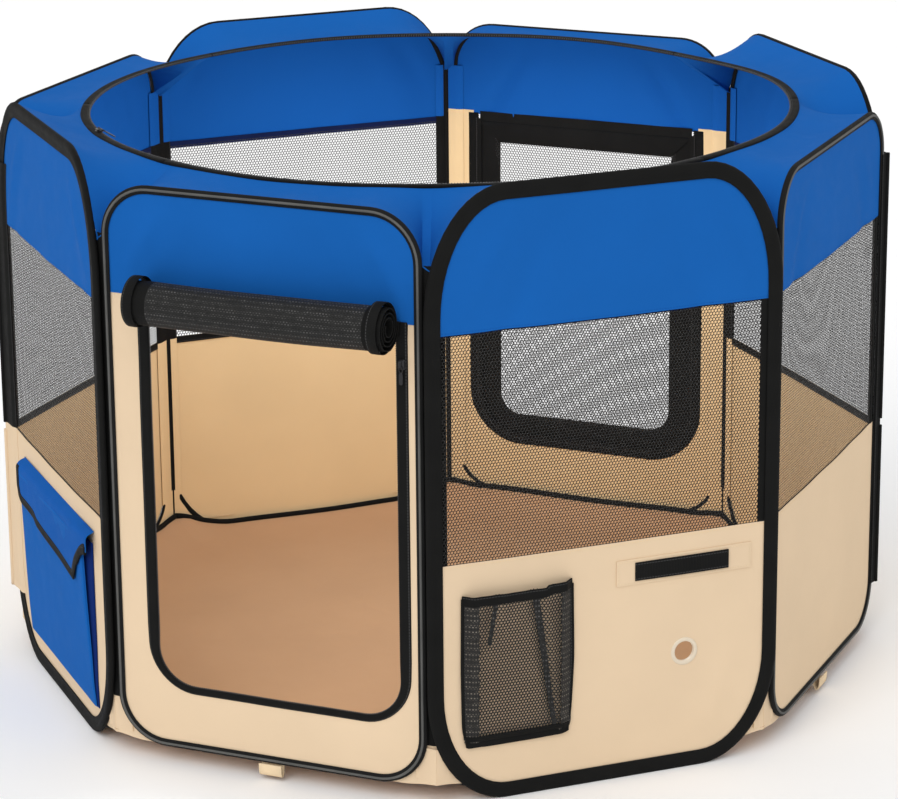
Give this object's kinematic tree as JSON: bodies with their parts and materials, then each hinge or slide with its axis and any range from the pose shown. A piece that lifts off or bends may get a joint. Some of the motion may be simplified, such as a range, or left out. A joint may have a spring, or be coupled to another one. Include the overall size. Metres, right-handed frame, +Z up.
{
  "type": "folding pet playpen",
  "caption": "Soft-sided octagonal pet playpen with wire hoops, mesh windows, rolled front door, zipped rear door and outer pockets.",
  "frame": {"origin": "on the ground at the centre of the octagon", "axes": "+Z up, -Y towards the corner between the front door panel and the bottle panel, +X to the right"},
  "size_m": [0.9914, 1.036, 0.654],
  "materials": {
    "spring_steel": "satin",
    "black_tape": "woven polyester binding",
    "grey_piping": "dark piping with a grey reflective core",
    "blue_cloth": "coated woven polyester",
    "beige_cloth": "coated woven polyester",
    "black_mesh": "knitted hexagonal mesh",
    "beige_webbing": "woven webbing",
    "cream_plastic": "satin moulded",
    "zip_metal": "black lacquer"
  },
  "bodies": {
    "panel_1": {"hoop_wire_1": "spring_steel", "edge_tape_1": "black_tape", "blue_band_1": "blue_cloth", "wall_1": "beige_cloth", "mesh_window_1": "black_mesh", "side_pocket": "blue_cloth"},
    "panel_2": {"hoop_wire_2": "spring_steel", "edge_piping_2": "grey_piping", "blue_band_2": "blue_cloth", "wall_2": "beige_cloth", "ground_tab_2": "beige_webbing", "door_rim_front": "black_tape", "door_roll": "black_mesh", "door_roll_ties": "black_tape"},
    "panel_3": {"hoop_wire_3": "spring_steel", "edge_tape_3": "black_tape", "blue_band_3": "blue_cloth", "wall_3": "beige_cloth", "mesh_window_3": "black_mesh", "mesh_pocket": "black_mesh", "strap_patch": "beige_cloth", "spout_grommet": "cream_plastic", "roof_collar": "blue_cloth", "collar_zip_tape": "black_tape", "floor_sheet": "beige_cloth"},
    "panel_4": {"hoop_wire_4": "spring_steel", "edge_piping_4": "grey_piping", "blue_band_4": "blue_cloth", "wall_4": "beige_cloth", "mesh_window_4": "black_mesh", "ground_tab_4": "beige_webbing"},
    "panel_5": {"hoop_wire_5": "spring_steel", "edge_tape_5": "black_tape", "blue_band_5": "blue_cloth", "wall_5": "beige_cloth", "mesh_window_5": "black_mesh"},
    "panel_6": {"hoop_wire_6": "spring_steel", "edge_piping_6": "grey_piping", "blue_band_6": "blue_cloth", "wall_6": "beige_cloth", "ground_tab_6": "beige_webbing", "door_rim_rear": "black_tape"},
    "panel_7": {"hoop_wire_7": "spring_steel", "edge_tape_7": "black_tape", "blue_band_7": "blue_cloth", "wall_7": "beige_cloth", "mesh_window_7": "black_mesh"},
    "panel_8": {"hoop_wire_8": "spring_steel", "edge_piping_8": "grey_piping", "blue_band_8": "blue_cloth", "wall_8": "beige_cloth", "mesh_window_8": "black_mesh", "ground_tab_8": "beige_webbing"},
    "pocket_flap": {"side_pocket_flap": "blue_cloth"},
    "front_zip": {"front_zip_slider": "zip_metal"},
    "bottle_strap": {"bottle_strap": "black_tape"},
    "rear_door": {"rear_door_mesh": "black_mesh", "rear_door_border": "black_tape"},
    "rear_zip": {"rear_zip_slider": "zip_metal"},
    "collar_zip": {"collar_zip_slider": "zip_metal"}
  },
  "joints": [
    {"name": "fold_left_corner", "type": "hinge", "parent": "panel_1", "child": "panel_8", "pos_m": [-0.50038, 0, 0.32], "axis": [0, 0, 1], "range_deg": [0, 207], "deforming": ["roof_collar", "collar_zip_tape", "collar_zip_slider", "floor_sheet"]},
    {"name": "fold_front_corner", "type": "hinge", "parent": "panel_3", "child": "panel_2", "pos_m": [0, -0.49388, 0.32], "axis": [0, 0, 1], "range_deg": [0, 41.7]},
    {"name": "fold_front_left_corner", "type": "hinge", "parent": "panel_2", "child": "panel_1", "pos_m": [-0.34586, -0.34586, 0.32], "axis": [0, 0, 1], "range_deg": [-124.5, 0]},
    {"name": "fold_back_left_corner", "type": "hinge", "parent": "panel_8", "child": "panel_7", "pos_m": [-0.34586, 0.34586, 0.32], "axis": [0, 0, 1], "range_deg": [-124.5, 0]},
    {"name": "fold_front_right_corner", "type": "hinge", "parent": "panel_3", "child": "panel_4", "pos_m": [0.34586, -0.34586, 0.32], "axis": [0, 0, 1], "range_deg": [0, 124.5]},
    {"name": "fold_right_corner", "type": "hinge", "parent": "panel_4", "child": "panel_5", "pos_m": [0.50038, 0, 0.32], "axis": [0, 0, 1], "range_deg": [-207.3, 0]},
    {"name": "fold_back_right_corner", "type": "hinge", "parent": "panel_5", "child": "panel_6", "pos_m": [0.34586, 0.34586, 0.32], "axis": [0, 0, 1], "range_deg": [0, 124.5]},
    {"name": "pocket_flap_hinge", "type": "hinge", "parent": "panel_1", "child": "pocket_flap", "pos_m": [-0.4288, -0.18952, 0.236], "axis": [-0.3827, 0.9239, 0], "range_deg": [0, 170]},
    {"name": "front_zip_slide", "type": "slide", "parent": "panel_2", "child": "front_zip", "axis": [0, 0, -1], "range_m": [0, 0.3]},
    {"name": "bottle_strap_peel", "type": "hinge", "parent": "panel_3", "child": "bottle_strap", "pos_m": [0.21344, -0.41077, 0.228], "axis": [0, 0, -1], "range_deg": [0, 150]},
    {"name": "rear_door_swing", "type": "hinge", "parent": "panel_6", "child": "rear_door", "pos_m": [0.17461, 0.42155, 0.5105], "axis": [0.9239, -0.3827, 0], "range_deg": [0, 110]},
    {"name": "rear_zip_slide", "type": "slide", "parent": "panel_6", "child": "rear_zip", "axis": [0, 0, -1], "range_m": [0, 0.3]},
    {"name": "collar_zip_slide", "type": "hinge", "parent": "panel_1", "child": "collar_zip", "pos_m": [0, 0, 0.6336], "axis": [0, 0, 1], "range_deg": [0, 345]}
  ],
  "couplings": [
    {"joint": "fold_front_corner", "follows": "fold_left_corner", "ratio": 0.2},
    {"joint": "fold_front_left_corner", "follows": "fold_left_corner", "ratio": -0.6},
    {"joint": "fold_back_left_corner", "follows": "fold_left_corner", "ratio": -0.6},
    {"joint": "fold_front_right_corner", "follows": "fold_left_corner", "ratio": 0.6},
    {"joint": "fold_right_corner", "follows": "fold_left_corner", "ratio": -1},
    {"joint": "fold_back_right_corner", "follows": "fold_left_corner", "ratio": 0.6}
  ]
}
